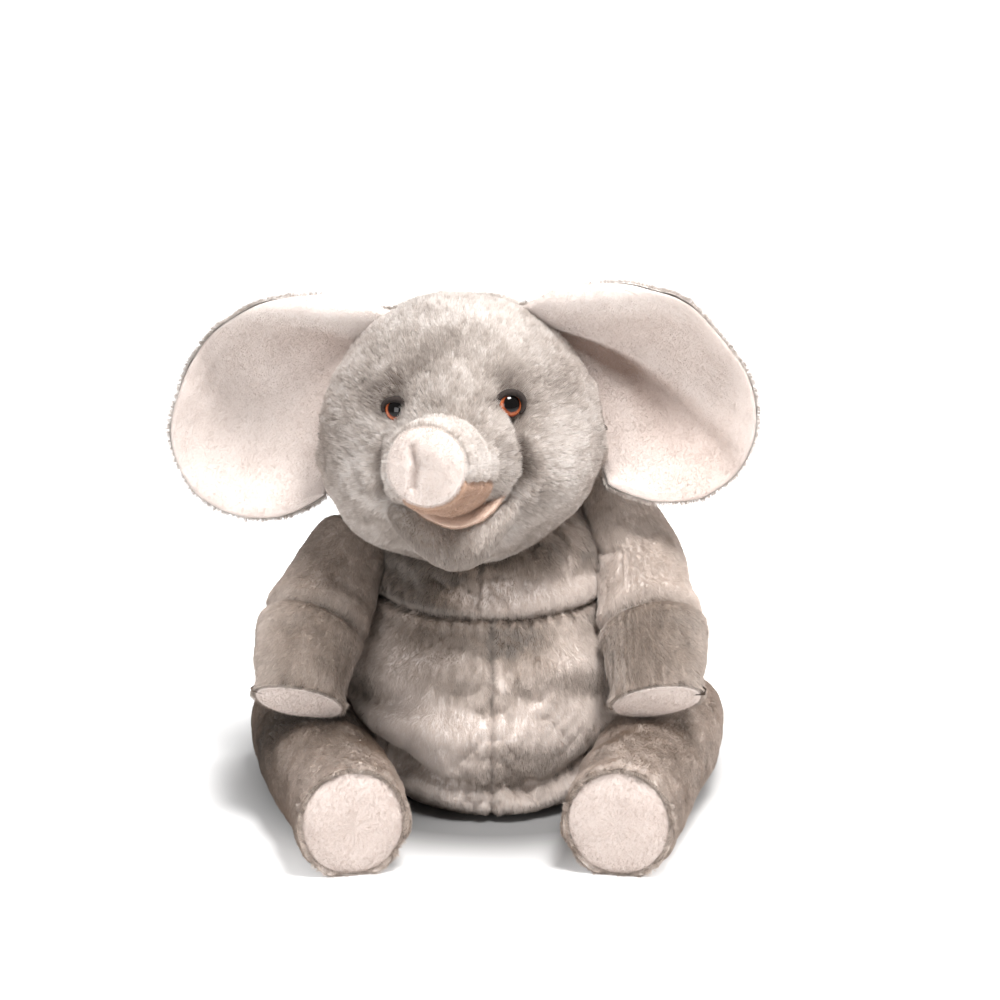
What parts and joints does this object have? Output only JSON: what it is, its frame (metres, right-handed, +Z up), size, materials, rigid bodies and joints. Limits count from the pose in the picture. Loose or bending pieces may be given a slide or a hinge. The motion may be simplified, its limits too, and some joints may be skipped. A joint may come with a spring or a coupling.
{
  "type": "stuffed elephant",
  "caption": "Seated plush elephant with turning head, lifting trunk, flapping ears, swinging arms, splaying legs and a wagging tail.",
  "frame": {"origin": "middle of the seat panel, on the floor", "axes": "+Z up, the elephant faces -Y, its own left side is +X"},
  "size_m": [0.2776, 0.2383, 0.2533],
  "materials": {
    "body_plush": "short-pile grey plush",
    "head_plush": "lighter grey plush",
    "pale_fleece": "pale pink fleece",
    "mouth_fleece": "pink-tan fleece",
    "fibre_filling": "fibre filling",
    "pellet_bag": "woven cloth over pellets",
    "eye_plastic": "gloss amber with black pupil",
    "eyelid_cord": "dark cord",
    "washer_plastic": "matte"
  },
  "bodies": {
    "torso": {"belly_panel_left": "body_plush", "belly_panel_right": "body_plush", "chest_panel_left": "body_plush", "chest_panel_right": "body_plush", "back_panel": "body_plush", "seat_panel": "body_plush", "body_stuffing": "fibre_filling", "bean_bag": "pellet_bag"},
    "neck": {"neck_stuffing": "body_plush"},
    "head": {"head_front_cover": "head_plush", "head_back_cover": "head_plush", "head_stuffing": "fibre_filling", "eye_left": "eye_plastic", "eye_right": "eye_plastic", "eye_washer_left": "washer_plastic", "eye_washer_right": "washer_plastic", "eyelid_left": "eyelid_cord", "eyelid_right": "eyelid_cord", "chin_cover": "head_plush", "mouth_lining": "mouth_fleece"},
    "trunk": {"trunk_cover": "head_plush", "trunk_underside": "pale_fleece", "trunk_tip": "pale_fleece", "trunk_stuffing": "fibre_filling"},
    "ear_left": {"ear_left_inner": "pale_fleece", "ear_left_outer": "head_plush"},
    "ear_right": {"ear_right_inner": "pale_fleece", "ear_right_outer": "head_plush"},
    "arm_left": {"arm_left_upper_sleeve": "body_plush", "arm_left_lower_front": "body_plush", "arm_left_lower_back": "body_plush", "paw_pad_left": "pale_fleece", "arm_left_stuffing": "fibre_filling"},
    "arm_right": {"arm_right_upper_sleeve": "body_plush", "arm_right_lower_front": "body_plush", "arm_right_lower_back": "body_plush", "paw_pad_right": "pale_fleece", "arm_right_stuffing": "fibre_filling"},
    "leg_left": {"leg_left_cover": "body_plush", "foot_pad_left": "pale_fleece", "leg_left_stuffing": "fibre_filling"},
    "leg_right": {"leg_right_cover": "body_plush", "foot_pad_right": "pale_fleece", "leg_right_stuffing": "fibre_filling"},
    "tail": {"tail_cover": "body_plush", "tail_tuft": "body_plush"}
  },
  "joints": [
    {"name": "neck_turn", "type": "hinge", "parent": "torso", "child": "neck", "pos_m": [-0.003, 0.001, 0.12], "axis": [0, 0, 1], "range_deg": [-25, 25]},
    {"name": "head_nod", "type": "hinge", "parent": "neck", "child": "head", "pos_m": [-0.003, 0.001, 0.12], "axis": [-0.999, 0.0436, 0], "range_deg": [-6, 14]},
    {"name": "trunk_lift", "type": "hinge", "parent": "head", "child": "trunk", "pos_m": [-0.01738, -0.08091, 0.17795], "axis": [-0.9977, 0.0436, -0.0523], "range_deg": [-8, 12]},
    {"name": "ear_left_flap", "type": "hinge", "parent": "head", "child": "ear_left", "pos_m": [0.03567, -0.02216, 0.20353], "axis": [-0.5214, 0.0228, 0.853], "range_deg": [-10, 10]},
    {"name": "ear_right_flap", "type": "hinge", "parent": "head", "child": "ear_right", "pos_m": [-0.06551, -0.01775, 0.19823], "axis": [-0.4294, 0.0187, -0.9029], "range_deg": [-10, 10]},
    {"name": "arm_left_swing", "type": "hinge", "parent": "torso", "child": "arm_left", "pos_m": [0.069, -0.012, 0.101], "axis": [-1, 0, 0], "range_deg": [0, 50]},
    {"name": "arm_right_swing", "type": "hinge", "parent": "torso", "child": "arm_right", "pos_m": [-0.069, -0.012, 0.101], "axis": [-1, 0, 0], "range_deg": [0, 50]},
    {"name": "leg_left_splay", "type": "hinge", "parent": "torso", "child": "leg_left", "pos_m": [0.086, 0.004, 0.025], "axis": [0, 0, 1], "range_deg": [0, 25]},
    {"name": "leg_right_splay", "type": "hinge", "parent": "torso", "child": "leg_right", "pos_m": [-0.091, 0.004, 0.025], "axis": [0, 0, -1], "range_deg": [0, 25]},
    {"name": "tail_wag", "type": "hinge", "parent": "torso", "child": "tail", "pos_m": [0, 0.07, 0.036], "axis": [0, 0, 1], "range_deg": [-35, 35]}
  ]
}
